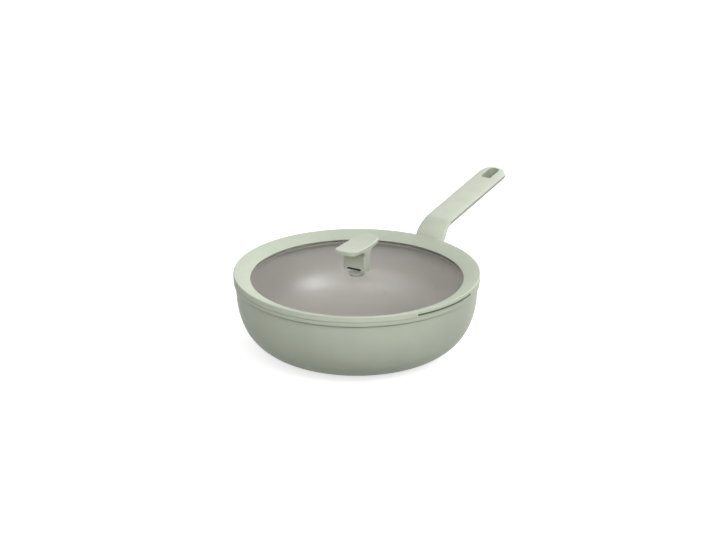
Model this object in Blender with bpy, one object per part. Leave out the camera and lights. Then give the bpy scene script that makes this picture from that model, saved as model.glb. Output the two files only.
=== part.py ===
"""A deep wok with one long handle, and a glass lid in a wide silicone rim with a T-shaped knob.

Metres, +Z up. The origin is on the bowl's axis where its base rests, and the handle points along +X.
The lid and everything fixed to it hang under one empty on the bowl's axis, where the lid sits.
"""
import math

import bmesh
import bpy
from mathutils import Vector

# Fits
SEAT_GAP = 0.0003
LID_CLEARANCE = 0.0012
PLUG_CLEARANCE = 0.0009

# Bowl
BASE_RADIUS = 0.0625
WALL_RADIUS = 0.1447
WALL_HEIGHT = 0.0841
WALL_POWER_ACROSS = 2.86
WALL_POWER_UP = 2.455
WALL_THICKNESS = 0.0040
BASE_THICKNESS = 0.0055
FLANGE_OVERHANG = 0.0024
FLANGE_HEIGHT = 0.0050
FLANGE_ROUNDING = 0.0008
MOUTH_ROUNDING = 0.0012

# Steel plate pressed into the base
PLATE_RADIUS = 0.0560
PLATE_THICKNESS = 0.0012
PLATE_EDGE = 0.0003

# Handle, measured along its widest plane
NECK_OFFSET = 0.01025
NECK_SLOPE = math.radians(51.4)
NECK_RISE = 0.01276
ROOT_SLOPE = math.radians(62.0)
ROOT_DROP = 0.0480
BLADE_SLOPE = math.radians(12.5)
BLADE_LENGTH = 0.1484
ROOT_BEND_RADIUS = 0.0300
NECK_BEND_RADIUS = 0.0292
ROOT_WIDTH = 0.0435
NECK_WIDTH = 0.0415
BLADE_WIDTH = 0.0374
CROWN_DEPTH = 0.0030
BELLY_DEPTH = 0.0093
HEEL_DEPTH = 0.0150
HEEL_ROUNDING = 0.0140
TIP_ROUNDING = 0.0166
TIP_EDGE_ROUNDING = 0.0060
CROWN_POWER = 2.4
BELLY_POWER = 2.4
TIP_POWER = 2.2

# Hanging slot in the handle
SLOT_LENGTH = 0.0257
SLOT_WIDTH = 0.0129
SLOT_TIP_WALL = 0.0050
SLOT_CORNER = 0.0022
SLOT_END_RADIUS = 0.0063

# Cast lug on the bowl, and the screw that holds the handle to it
LUG_WIDTH = 0.0200
LUG_THICKNESS = 0.0055
LUG_LENGTH = 0.0210
LUG_ROOT_LENGTH = 0.0080
LUG_TOP = 0.0005
LUG_SCREW_SETBACK = 0.0095
HANDLE_SCREW_RADIUS = 0.0020
HANDLE_SCREW_HEAD_RADIUS = 0.0036
HANDLE_SCREW_HEAD_HEIGHT = 0.0018
LOCK_WASHER_RADIUS = 0.0036
LOCK_WASHER_THICKNESS = 0.0007
HANDLE_SCREW_FLOOR = 0.0024
THREAD_INSERT_WALL = 0.0011

# Silicone rim of the lid
SKIRT_HEIGHT = 0.0080
SKIRT_OVERHANG = 0.0004
RIM_WIDTH = 0.0199
FUNNEL_DROP = 0.0077
PLUG_DEPTH = 0.0088
LIP_HEIGHT = 0.0020
LOWER_LIP_REACH = 0.0050
RIM_ROUNDING = 0.0010

# Straining slits through the rim, with a passage up from the bowl
SLIT_AZIMUTHS = (math.radians(-95.5), math.radians(84.5))
SLIT_SPAN = math.radians(35.0)
SLIT_HEIGHT = 0.0025
SLIT_BRIDGE = 0.0017
SLIT_PASSAGE = 0.0030
SLIT_INNER_TOP = 0.0010
SLIT_SHOULDER = 0.0045

# Glass
GLASS_THICKNESS = 0.0040
GLASS_RISE = 0.0110
GLASS_GRIP = 0.0064
GLASS_HOLE_RADIUS = 0.0040
STEAM_HOLE_RADIUS = 0.0020
STEAM_HOLE_OFFSET = 0.0073

# Knob
KNOB_TURN = math.radians(6.5)
KNOB_HEIGHT = 0.0335
KNOB_LENGTH = 0.0670
KNOB_WIDTH = 0.0310
KNOB_END_WIDTH = 0.0272
KNOB_DIP = 0.0020
KNOB_PLATE_THICKNESS = 0.0055
KNOB_PLATE_CORNER = 0.0085
KNOB_PLATE_EDGE = 0.0010
STEM_DEPTH = 0.0130
STEM_CORNER = 0.0030
STEM_FLARE_RADIUS = 0.0080
STEM_SINK = 0.0015
VENT_WIDTH = 0.0190
VENT_HEIGHT = 0.0035
VENT_DEPTH = 0.0085
VENT_CORNER = 0.0025
BOSS_RADIUS = 0.0050

# Knob fixing: insert, gaskets, washer and screw
KNOB_SCREW_RADIUS = 0.0020
KNOB_SCREW_HEAD_RADIUS = 0.0040
KNOB_SCREW_HEAD_HEIGHT = 0.0024
KNOB_SCREW_BITE = 0.0090
KNOB_INSERT_WALL = 0.0015
KNOB_INSERT_LENGTH = 0.0120
UPPER_GASKET_THICKNESS = 0.0010
UPPER_GASKET_RADIUS = 0.0046
LOWER_GASKET_THICKNESS = 0.0012
LOWER_GASKET_RADIUS = 0.0100
CUP_WASHER_THICKNESS = 0.0010
CUP_WASHER_RADIUS = 0.0088
CUP_WASHER_RIM = 0.0012
RECESS_ARM_RATIO = 0.55
RECESS_WIDTH_RATIO = 0.18
RECESS_DEPTH_RATIO = 0.60

# Fineness
ROUND_STEPS = 64
SMALL_ROUND_STEPS = 20
WALL_STEPS = 12
GLASS_STEPS = 6
SECTION_STEPS = 28
BEND_STEPS = 6
ARC_STEPS = 2
SLIT_STEPS = 12
BULGE_STEPS = 4
CORNER_STEPS = 5
SMOOTH_ANGLE = math.radians(35.0)

# Heights and radii that follow from the sizes above
FLANGE_RADIUS = WALL_RADIUS + FLANGE_OVERHANG
FLANGE_TOP = WALL_HEIGHT + FLANGE_HEIGHT
MOUTH_RADIUS = WALL_RADIUS - WALL_THICKNESS
LID_RADIUS = FLANGE_RADIUS + SKIRT_OVERHANG
LID_SEAT = FLANGE_TOP + SEAT_GAP
LID_TOP = FLANGE_TOP + SKIRT_HEIGHT
RIM_INNER_RADIUS = LID_RADIUS - RIM_WIDTH
RIM_INNER_TOP = LID_TOP - FUNNEL_DROP
GLASS_RADIUS = RIM_INNER_RADIUS + GLASS_GRIP
GLASS_TOP = RIM_INNER_TOP - LIP_HEIGHT + GLASS_RISE
GLASS_UNDERSIDE = GLASS_TOP - GLASS_THICKNESS
KNOB_FOOT = GLASS_TOP + SEAT_GAP
KNOB_TOP = GLASS_TOP + KNOB_HEIGHT
INSERT_RADIUS = KNOB_SCREW_RADIUS + SEAT_GAP + KNOB_INSERT_WALL
INSERT_FOOT = GLASS_TOP + UPPER_GASKET_THICKNESS + 2 * SEAT_GAP
THREAD_INSERT_RADIUS = HANDLE_SCREW_RADIUS + SEAT_GAP + THREAD_INSERT_WALL
HANDLE_SCREW_PLACE = (LUG_LENGTH - LUG_SCREW_SETBACK, 0.0, 0.0)

# Colours
SAGE_SOFT = (0.60, 0.65, 0.54)
SAGE_SILICONE = (0.62, 0.67, 0.56)
SAGE_BODY = (0.55, 0.60, 0.49)
CLEAR_GLASS = (0.80, 0.82, 0.80)
SEAL_GREY = (0.55, 0.56, 0.53)
STEEL_GREY = (0.66, 0.66, 0.65)
BRASS_YELLOW = (0.75, 0.58, 0.25)


def clear_scene():
    for thing in list(bpy.data.objects):
        bpy.data.objects.remove(thing, do_unlink=True)


def make_material(name, colour, roughness, metallic=0.0, transmission=0.0):
    material = bpy.data.materials.new(name)
    material.use_nodes = True
    shader = material.node_tree.nodes["Principled BSDF"]
    shader.inputs["Base Color"].default_value = (*colour, 1.0)
    shader.inputs["Roughness"].default_value = roughness
    shader.inputs["Metallic"].default_value = metallic
    shader.inputs["Transmission Weight"].default_value = transmission
    return material


def make_empty(name, location, slope=0.0, turn=0.0, parent=None):
    """An empty whose X axis climbs at the given slope in the XZ plane and is turned about Z."""
    empty = bpy.data.objects.new(name, None)
    empty.parent = parent
    empty.location = location
    empty.rotation_euler = (0.0, -slope, turn)
    bpy.context.scene.collection.objects.link(empty)
    return empty


def make_object(name, rings, wrap=False, material=None, parent=None, location=(0.0, 0.0, 0.0)):
    """A closed body skinned over rings of points; wrap joins the last ring to the first."""
    shape = bmesh.new()
    poles = {}

    def vertex(point):
        place = tuple(round(value, 9) for value in point)
        if place not in poles:
            poles[place] = shape.verts.new(point)
        return poles[place]

    loops = [[vertex(point) for point in ring] for ring in rings]
    followers = loops[1:] + loops[:1] if wrap else loops[1:]
    for loop, follower in zip(loops, followers):
        for index in range(len(loop)):
            after = (index + 1) % len(loop)
            corners = (loop[index], follower[index], follower[after], loop[after])
            corners = tuple(dict.fromkeys(corners))
            if len(corners) > 2:
                shape.faces.new(corners)
    if not wrap:
        shape.faces.new(dict.fromkeys(loops[0]))
        shape.faces.new(dict.fromkeys(reversed(loops[-1])))
    bmesh.ops.recalc_face_normals(shape, faces=shape.faces)

    mesh = bpy.data.meshes.new(name)
    shape.to_mesh(mesh)
    shape.free()
    mesh.shade_smooth()
    mesh.set_sharp_from_angle(angle=SMOOTH_ANGLE)
    thing = bpy.data.objects.new(name, mesh)
    thing.location = location
    thing.parent = parent
    bpy.context.scene.collection.objects.link(thing)
    if material is None:
        thing.hide_render = True
        thing.display_type = "WIRE"
    else:
        mesh.materials.append(material)
    return thing


def combine(target, tool, operation):
    """Cut a tool out of the target, join it on, or keep only what both share."""
    modifier = target.modifiers.new(tool.name, "BOOLEAN")
    modifier.operation = operation
    modifier.solver = "EXACT"
    modifier.object = tool


def fillet(corners, closed=True, steps=ARC_STEPS):
    """Points of a line through (x, y, radius) corners, each turned into an arc of its radius."""
    points = []
    for index, (x, y, radius) in enumerate(corners):
        here = Vector((x, y))
        at_end = not closed and index in (0, len(corners) - 1)
        if radius == 0.0 or at_end:
            points.append(here)
            continue
        back = (Vector(corners[index - 1][:2]) - here).normalized()
        ahead = (Vector(corners[(index + 1) % len(corners)][:2]) - here).normalized()
        half_corner = back.angle(ahead) / 2
        centre = here + (back + ahead).normalized() * radius / math.sin(half_corner)
        start = here + back * radius / math.tan(half_corner) - centre
        sweep = math.copysign(math.pi - 2 * half_corner, back.y * ahead.x - back.x * ahead.y)
        for step in range(steps + 1):
            angle = math.atan2(start.y, start.x) + sweep * step / steps
            points.append(centre + radius * Vector((math.cos(angle), math.sin(angle))))
    return points


def turned(outline, steps=ROUND_STEPS, start=0.0, span=math.tau):
    """Rings of an outline of (radius, height) points turned about Z."""
    count = steps if span == math.tau else steps + 1
    angles = [start + span * step / steps for step in range(count)]
    return [[(r * math.cos(a), r * math.sin(a), z) for r, z in outline] for a in angles]


def upright(outline, low, high):
    """Rings of a plan outline at two heights."""
    return [[(x, y, z) for x, y in outline] for z in (low, high)]


def make_ring(name, inner, outer, low, high, rounding, **place):
    """A round plate, washer or sleeve with rounded outer corners, and solid when inner is 0."""
    outline = fillet([(inner, low, 0.0), (outer, low, rounding), (outer, high, rounding), (inner, high, 0.0)])
    return make_object(name, turned(outline, SMALL_ROUND_STEPS), wrap=True, **place)


def wall_point(angle, offset):
    """A point of the bowl's outer curve, moved outward by offset along the curve's normal."""
    def curve(at):
        across = max(math.cos(at), 0.0) ** (2 / WALL_POWER_ACROSS)
        up = 1 - max(math.sin(at), 0.0) ** (2 / WALL_POWER_UP)
        return Vector((BASE_RADIUS + (WALL_RADIUS - BASE_RADIUS) * across, WALL_HEIGHT * up))

    nudge = 0.001
    tangent = curve(min(angle + nudge, math.pi / 2)) - curve(max(angle - nudge, 0.0))
    outward = Vector((-tangent.y, tangent.x)).normalized()
    return curve(angle) + outward * offset


def wall_curve(offset=0.0):
    """The bowl's curve from its top edge down to its base."""
    return [wall_point(math.pi / 2 * step / WALL_STEPS, offset) for step in range(WALL_STEPS + 1)]


def glass_height(radius, surface=0.0):
    """Height of the glass dome's top at a radius, or of a surface that lies this much above it."""
    dome = (RIM_INNER_RADIUS ** 2 + GLASS_RISE ** 2) / (2 * GLASS_RISE)
    return GLASS_TOP + surface - dome + math.sqrt(dome ** 2 - radius ** 2)


def build_wok_body(lug_frame):
    """Cast bowl: base, curved wall, flange round the mouth, and the lug that carries the handle."""
    recess = PLATE_THICKNESS + SEAT_GAP
    recess_radius = PLATE_RADIUS + SEAT_GAP
    flange = fillet([
        (WALL_RADIUS, WALL_HEIGHT, 0.0),
        (FLANGE_RADIUS, WALL_HEIGHT, FLANGE_ROUNDING),
        (FLANGE_RADIUS, FLANGE_TOP, FLANGE_ROUNDING),
        (MOUTH_RADIUS, FLANGE_TOP, MOUTH_ROUNDING),
        (MOUTH_RADIUS, WALL_HEIGHT, 0.0),
    ], closed=False)
    inside = [point for point in wall_curve(-WALL_THICKNESS)[1:] if point.y > BASE_THICKNESS]
    base = [(0.0, recess), (recess_radius, recess), (recess_radius, 0.0)]
    floor = [(min(inside[-1].x, BASE_RADIUS), BASE_THICKNESS), (0.0, BASE_THICKNESS)]
    outline = base + wall_curve()[:0:-1] + flange + inside + floor
    coat = make_material("sage_ceramic_coat", SAGE_BODY, roughness=0.45)
    body = make_object("wok_body", turned(outline), wrap=True, material=coat)

    half_width = LUG_WIDTH / 2
    lug_outline = fillet([
        (-LUG_ROOT_LENGTH, -half_width, 0.0), (LUG_LENGTH, -half_width, half_width / 2),
        (LUG_LENGTH, half_width, half_width / 2), (-LUG_ROOT_LENGTH, half_width, 0.0),
    ])
    lug = make_object("lug_shape", upright(lug_outline, LUG_TOP - LUG_THICKNESS, LUG_TOP), parent=lug_frame)
    middle = [(0.0, 0.0)] + wall_curve(-WALL_THICKNESS / 2)[::-1] + [(0.0, WALL_HEIGHT)]
    combine(lug, make_object("wall_middle", turned(middle), wrap=True), "DIFFERENCE")
    combine(body, lug, "UNION")
    bore = make_screw_bore("lug_bore", THREAD_INSERT_RADIUS + SEAT_GAP, LUG_TOP + SEAT_GAP, lug_frame)
    combine(body, bore, "DIFFERENCE")


def make_screw_bore(name, radius, top, lug_frame):
    """A round cutter from below, square to the lug, up to a height where the handle screw goes."""
    return make_ring(name, 0.0, radius, -2 * HEEL_DEPTH, top, 0.0, parent=lug_frame,
                     location=HANDLE_SCREW_PLACE)


def build_induction_plate():
    steel = make_material("brushed_steel", STEEL_GREY, roughness=0.35, metallic=1.0)
    outline = fillet([(0.0, 0.0, 0.0), (PLATE_RADIUS, 0.0, PLATE_EDGE),
                      (PLATE_RADIUS, PLATE_THICKNESS, PLATE_EDGE), (0.0, PLATE_THICKNESS, 0.0)])
    make_object("induction_plate", turned(outline), wrap=True, material=steel)


def handle_path():
    """Corners of the handle's widest plane in XZ, from inside the wall to the tip."""
    neck = Vector((LID_RADIUS + NECK_OFFSET, LID_TOP))
    root = neck - ROOT_DROP * Vector((1 / math.tan(ROOT_SLOPE), 1.0))
    bend = neck + NECK_RISE * Vector((1 / math.tan(NECK_SLOPE), 1.0))
    tip = bend + BLADE_LENGTH * Vector((math.cos(BLADE_SLOPE), math.sin(BLADE_SLOPE)))
    return root, neck, bend, tip


def handle_stations():
    """Points along the handle with their direction, half width, and depth above and below."""
    root, neck, bend, tip = handle_path()
    corners = [(*root, 0.0), (*neck, ROOT_BEND_RADIUS), (*bend, NECK_BEND_RADIUS), (*tip, 0.0)]
    line = fillet(corners, closed=False, steps=BEND_STEPS)
    root_direction = (neck - root).normalized()
    blade_direction = (tip - bend).normalized()

    quarter = [math.pi / 2 * step / BEND_STEPS for step in range(1, BEND_STEPS + 1)]
    heel = [root + root_direction * HEEL_ROUNDING * (1 - math.cos(turn)) for turn in quarter]
    ends = [tip - blade_direction * TIP_ROUNDING * (1 - math.sin(turn)) for turn in quarter[:-1]]
    points = heel + line[1:-1] + [tip - blade_direction * TIP_ROUNDING] + ends
    neck_length = (neck - root).length
    bend_length = neck_length + (bend - neck).length

    stations = []
    travelled = (points[0] - root).length
    for index, point in enumerate(points):
        before = points[max(index - 1, 0)]
        after = points[min(index + 1, len(points) - 1)]
        direction = (after - before).normalized()
        travelled += (point - before).length
        if travelled < neck_length:
            share = travelled / neck_length
            width = ROOT_WIDTH + (NECK_WIDTH - ROOT_WIDTH) * share
            ease = share * share * (3 - 2 * share)
            belly = HEEL_DEPTH + (BELLY_DEPTH - HEEL_DEPTH) * ease
        else:
            share = min((travelled - neck_length) / (bend_length - neck_length), 1.0)
            width = NECK_WIDTH + (BLADE_WIDTH - NECK_WIDTH) * share
            belly = BELLY_DEPTH
        heel_share = min(travelled / HEEL_ROUNDING, 1.0)
        belly *= math.sqrt(1 - (1 - heel_share) ** 2)
        to_tip = (tip - point).length
        tip_share = max(1 - to_tip / TIP_ROUNDING, 0.0)
        edge_share = max(1 - to_tip / TIP_EDGE_ROUNDING, 0.0)
        width *= (1 - tip_share ** TIP_POWER) ** (1 / TIP_POWER)
        thinning = math.sqrt(1 - edge_share ** 2)
        stations.append((point, direction, width / 2, CROWN_DEPTH * thinning, belly * thinning))
    return stations


def handle_section(point, direction, half_width, crown, belly):
    """One ring round the handle: a flat crown above its widest plane and a full belly below."""
    ring = []
    normal = Vector((-direction.y, direction.x))
    for step in range(SECTION_STEPS):
        turn = math.tau * step / SECTION_STEPS
        across, up = math.cos(turn), math.sin(turn)
        power, depth = (CROWN_POWER, crown) if up > 0 else (BELLY_POWER, belly)
        side = math.copysign(abs(across) ** (2 / power), across) * half_width
        lift = math.copysign(abs(up) ** (2 / power), up) * depth
        place = point + normal * lift
        ring.append((place.x, side, place.y))
    return ring


def build_handle(lug_frame):
    """One-piece handle: socket over the lug, bent neck, flat blade and hanging slot."""
    soft = make_material("sage_soft_touch", SAGE_SOFT, roughness=0.55)
    rings = [handle_section(*station) for station in handle_stations()]
    handle = make_object("handle", rings, material=soft)

    bowl = [(0.0, 0.0)] + wall_curve(SEAT_GAP)[::-1]
    rim = [(LID_RADIUS + LID_CLEARANCE, WALL_HEIGHT - SEAT_GAP), (LID_RADIUS + LID_CLEARANCE, LID_TOP)]
    outline = bowl[:-1] + [(WALL_RADIUS + SEAT_GAP, WALL_HEIGHT - SEAT_GAP)] + rim + [(0.0, LID_TOP)]
    combine(handle, make_object("bowl_clearance", turned(outline), wrap=True), "DIFFERENCE")

    half_width = LUG_WIDTH / 2 + SEAT_GAP
    reach = LUG_LENGTH + SEAT_GAP
    socket = fillet([
        (-HEEL_ROUNDING, -half_width, 0.0), (reach, -half_width, half_width / 2),
        (reach, half_width, half_width / 2), (-HEEL_ROUNDING, half_width, 0.0),
    ])
    low, high = LUG_TOP - LUG_THICKNESS - SEAT_GAP, LUG_TOP + SEAT_GAP
    combine(handle, make_object("lug_socket", upright(socket, low, high), parent=lug_frame), "DIFFERENCE")
    hole = make_screw_bore("screw_hole", HANDLE_SCREW_RADIUS + SEAT_GAP, high, lug_frame)
    combine(handle, hole, "DIFFERENCE")
    well_radius = HANDLE_SCREW_HEAD_RADIUS + 2 * SEAT_GAP
    well = make_screw_bore("screw_well", well_radius, low - HANDLE_SCREW_FLOOR, lug_frame)
    combine(handle, well, "DIFFERENCE")

    tip = handle_path()[-1]
    slot_frame = make_empty("slot_frame", (tip.x, 0.0, tip.y), BLADE_SLOPE)
    near, far = -SLOT_TIP_WALL - SLOT_LENGTH, -SLOT_TIP_WALL
    half_slot = SLOT_WIDTH / 2
    slot = fillet([
        (near, -half_slot, SLOT_CORNER), (far, -half_slot, SLOT_END_RADIUS),
        (far, half_slot, SLOT_END_RADIUS), (near, half_slot, SLOT_CORNER),
    ], steps=BEND_STEPS)
    cutter = make_object("slot_shape", upright(slot, -HEEL_DEPTH, HEEL_DEPTH), parent=slot_frame)
    combine(handle, cutter, "DIFFERENCE")


def build_handle_fixing(lug_frame):
    """Threaded insert in the lug, and the screw with its lock washer from below."""
    steel = make_material("zinc_plated_steel", STEEL_GREY, roughness=0.3, metallic=1.0)
    place = {"parent": lug_frame, "location": HANDLE_SCREW_PLACE}
    lug_low = LUG_TOP - LUG_THICKNESS
    bore = HANDLE_SCREW_RADIUS + SEAT_GAP
    make_ring("lug_thread_insert", bore, THREAD_INSERT_RADIUS, lug_low, LUG_TOP, SEAT_GAP,
              material=steel, **place)
    washer_top = lug_low - SEAT_GAP - HANDLE_SCREW_FLOOR - SEAT_GAP
    washer_low = washer_top - LOCK_WASHER_THICKNESS
    make_ring("handle_lock_washer", bore, LOCK_WASHER_RADIUS, washer_low, washer_top, 0.0,
              material=steel, **place)
    make_screw("handle_screw", HANDLE_SCREW_RADIUS, HANDLE_SCREW_HEAD_RADIUS, HANDLE_SCREW_HEAD_HEIGHT,
               washer_low - SEAT_GAP, LUG_TOP, steel, place)


def make_screw(name, radius, head_radius, head_height, seat, end, material, place):
    """A pan-head screw pointing up, with a cross recess: its head's seat and its end are heights."""
    outline = fillet([
        (0.0, seat - head_height, 0.0), (head_radius, seat - head_height, head_height / 3),
        (head_radius, seat, 0.0), (radius, seat, 0.0), (radius, end, radius / 4), (0.0, end, 0.0),
    ])
    screw = make_object(name, turned(outline, SMALL_ROUND_STEPS), wrap=True, material=material, **place)
    arm = head_radius * RECESS_ARM_RATIO
    half = head_radius * RECESS_WIDTH_RATIO
    cross = [(arm, -half), (arm, half), (half, half), (half, arm), (-half, arm), (-half, half),
             (-arm, half), (-arm, -half), (-half, -half), (-half, -arm), (half, -arm), (half, -half)]
    depth = head_height * RECESS_DEPTH_RATIO
    low, high = seat - 2 * head_height, seat - head_height + depth
    recess = make_object(name + "_recess", upright(cross, low, high), parent=place["parent"],
                         location=place["location"])
    combine(screw, recess, "DIFFERENCE")


def build_lid_glass(lid_axis):
    """Tempered dome with a hole for the knob screw and a steam hole beside it."""
    radii = [GLASS_HOLE_RADIUS + (GLASS_RADIUS - GLASS_HOLE_RADIUS) * step / GLASS_STEPS
             for step in range(GLASS_STEPS + 1)]
    top = [(radius, glass_height(radius)) for radius in radii]
    underside = [(radius, glass_height(radius, -GLASS_THICKNESS)) for radius in reversed(radii)]
    outline = [(r, z - LID_SEAT) for r, z in top + underside]
    clear = make_material("tempered_glass", CLEAR_GLASS, roughness=0.03, transmission=0.9)
    glass = make_object("lid_glass", turned(outline), wrap=True, material=clear, parent=lid_axis)
    steam_hole = make_ring("steam_hole", 0.0, STEAM_HOLE_RADIUS, GLASS_UNDERSIDE - LID_SEAT - GLASS_RISE,
                           GLASS_TOP - LID_SEAT + GLASS_RISE, 0.0, parent=lid_axis,
                           location=(-STEAM_HOLE_RADIUS / 2, STEAM_HOLE_OFFSET, 0.0))
    combine(glass, steam_hole, "DIFFERENCE")


def build_lid_rim(lid_axis):
    """Wide silicone rim: a funnel on top, a skirt outside, a plug inside the bowl, slits at the sides."""
    plug_radius = MOUTH_RADIUS - PLUG_CLEARANCE
    plug_low = LID_SEAT - PLUG_DEPTH
    groove_radius = GLASS_RADIUS + SEAT_GAP
    lower_lip = GLASS_RADIUS - LOWER_LIP_REACH
    under = -GLASS_THICKNESS - SEAT_GAP
    outline = fillet([
        (LID_RADIUS, LID_TOP, RIM_ROUNDING),
        (RIM_INNER_RADIUS, RIM_INNER_TOP, RIM_ROUNDING / 2),
        (RIM_INNER_RADIUS, glass_height(RIM_INNER_RADIUS, SEAT_GAP), 0.0),
        (groove_radius, glass_height(groove_radius, SEAT_GAP), 0.0),
        (groove_radius, glass_height(groove_radius, under), 0.0),
        (lower_lip, glass_height(lower_lip, under), 0.0),
        (lower_lip, plug_low, RIM_ROUNDING / 2),
        (plug_radius, plug_low, RIM_ROUNDING),
        (plug_radius, LID_SEAT, 0.0),
        (LID_RADIUS, LID_SEAT, RIM_ROUNDING / 2),
    ])
    silicone = make_material("sage_silicone", SAGE_SILICONE, roughness=0.6)
    rim = make_object("lid_rim", turned([(r, z - LID_SEAT) for r, z in outline]), wrap=True,
                      material=silicone, parent=lid_axis)

    inner = plug_radius - SLIT_PASSAGE
    shoulder = plug_radius + SLIT_SHOULDER
    outside = LID_RADIUS + SLIT_PASSAGE
    low = SLIT_BRIDGE
    high = SLIT_BRIDGE + SLIT_HEIGHT
    channel = [
        (inner, -2 * PLUG_DEPTH), (inner, SLIT_INNER_TOP), (shoulder, high), (outside, high),
        (outside, low), (plug_radius + 2 * SEAT_GAP, low), (plug_radius + 2 * SEAT_GAP, -2 * PLUG_DEPTH),
    ]
    for index, azimuth in enumerate(SLIT_AZIMUTHS):
        rings = turned(channel, SLIT_STEPS, azimuth - SLIT_SPAN / 2, SLIT_SPAN)
        combine(rim, make_object(f"slit_shape_{index}", rings, parent=lid_axis), "DIFFERENCE")


def knob_dip(x):
    """How far the plate dips at x below the height of its ends."""
    return KNOB_DIP * (1 - (2 * x / KNOB_LENGTH) ** 2)


def knob_half_width(x):
    """Half the plate's width at x: long sides that bulge towards the middle, and rounded corners."""
    half_length = KNOB_LENGTH / 2
    along_side = min(abs(x), half_length - KNOB_PLATE_CORNER)
    bulge = (KNOB_WIDTH - KNOB_END_WIDTH) * (1 - (along_side / half_length) ** 2)
    into_corner = abs(x) - along_side
    return (KNOB_END_WIDTH + bulge) / 2 - KNOB_PLATE_CORNER + math.sqrt(KNOB_PLATE_CORNER ** 2 - into_corner ** 2)


def knob_plate_rings(low, top):
    """Sections across the plate from end to end, with its edges cut off at 45 degrees."""
    half_length = KNOB_LENGTH / 2
    corner_start = half_length - KNOB_PLATE_CORNER
    stations = [half_length, half_length - KNOB_PLATE_EDGE]
    stations += [corner_start + KNOB_PLATE_CORNER * math.cos(math.pi / 2 * step / CORNER_STEPS)
                 for step in range(2, CORNER_STEPS + 1)]
    stations += [corner_start * (1 - step / BULGE_STEPS) for step in range(1, BULGE_STEPS)]
    rings = []
    for x in [-x for x in stations] + [0.0] + stations[::-1]:
        width, dip = knob_half_width(x), knob_dip(x)
        flat = width if abs(x) == half_length else width - KNOB_PLATE_EDGE
        floor = low - dip + (KNOB_PLATE_EDGE if abs(x) == half_length else 0.0)
        roof = top - dip - (KNOB_PLATE_EDGE if abs(x) == half_length else 0.0)
        lower_edge, upper_edge = low - dip + KNOB_PLATE_EDGE, top - dip - KNOB_PLATE_EDGE
        right = [(x, flat, floor), (x, width, lower_edge), (x, width, upper_edge), (x, flat, roof)]
        rings.append(right + [(x, -y, z) for x, y, z in reversed(right)])
    return rings


def stem_ring(half_depth, height):
    half_width = KNOB_WIDTH / 2 - SEAT_GAP
    plan = fillet([(half_depth, -half_width, STEM_CORNER), (half_depth, half_width, STEM_CORNER),
                   (-half_depth, half_width, STEM_CORNER), (-half_depth, -half_width, STEM_CORNER)])
    return [(x, y, height) for x, y in plan]


def build_knob(knob_frame):
    """T-shaped knob: a flat plate on a broad stem, with an arched steam vent at the stem's foot."""
    foot = KNOB_FOOT - LID_SEAT
    top = KNOB_TOP - LID_SEAT
    plate_low = top - KNOB_PLATE_THICKNESS
    soft = make_material("sage_soft_touch_knob", SAGE_SOFT, roughness=0.5)
    knob = make_object("knob", knob_plate_rings(plate_low, top), material=soft, parent=knob_frame)

    half_depth = STEM_DEPTH / 2
    rings = [stem_ring(half_depth, foot)]
    for step in range(BEND_STEPS):
        turn = math.pi / 2 * step / BEND_STEPS
        reach = half_depth + STEM_FLARE_RADIUS * (1 - math.cos(turn))
        rings.append(stem_ring(reach, plate_low - knob_dip(reach) - STEM_FLARE_RADIUS * (1 - math.sin(turn))))
    reach = half_depth + STEM_FLARE_RADIUS * math.cos(math.pi / 2 / BEND_STEPS)
    rings.append(stem_ring(reach, plate_low - knob_dip(reach) + STEM_SINK))
    combine(knob, make_object("stem_shape", rings, parent=knob_frame), "UNION")

    half_vent = VENT_WIDTH / 2
    arch = fillet([(-half_vent, foot - VENT_HEIGHT, 0.0), (half_vent, foot - VENT_HEIGHT, 0.0),
                   (half_vent, foot + VENT_HEIGHT, VENT_CORNER), (-half_vent, foot + VENT_HEIGHT, VENT_CORNER)])
    front = -half_depth - STEM_SINK
    back = -half_depth + VENT_DEPTH
    vent = make_object("vent_shape", [[(x, y, z) for y, z in arch] for x in (front, back)], parent=knob_frame)
    boss = make_ring("boss_shape", 0.0, BOSS_RADIUS, foot - 2 * VENT_HEIGHT, top, 0.0, parent=knob_frame)
    combine(vent, boss, "DIFFERENCE")
    combine(knob, vent, "DIFFERENCE")

    insert_low = INSERT_FOOT - LID_SEAT
    gasket_seat = make_ring("gasket_recess", 0.0, UPPER_GASKET_RADIUS + SEAT_GAP, foot - VENT_HEIGHT,
                            insert_low, 0.0, parent=knob_frame)
    combine(knob, gasket_seat, "DIFFERENCE")
    bore = make_ring("insert_bore", 0.0, INSERT_RADIUS + SEAT_GAP, foot - VENT_HEIGHT,
                     insert_low + KNOB_INSERT_LENGTH + SEAT_GAP, 0.0, parent=knob_frame)
    combine(knob, bore, "DIFFERENCE")


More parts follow.
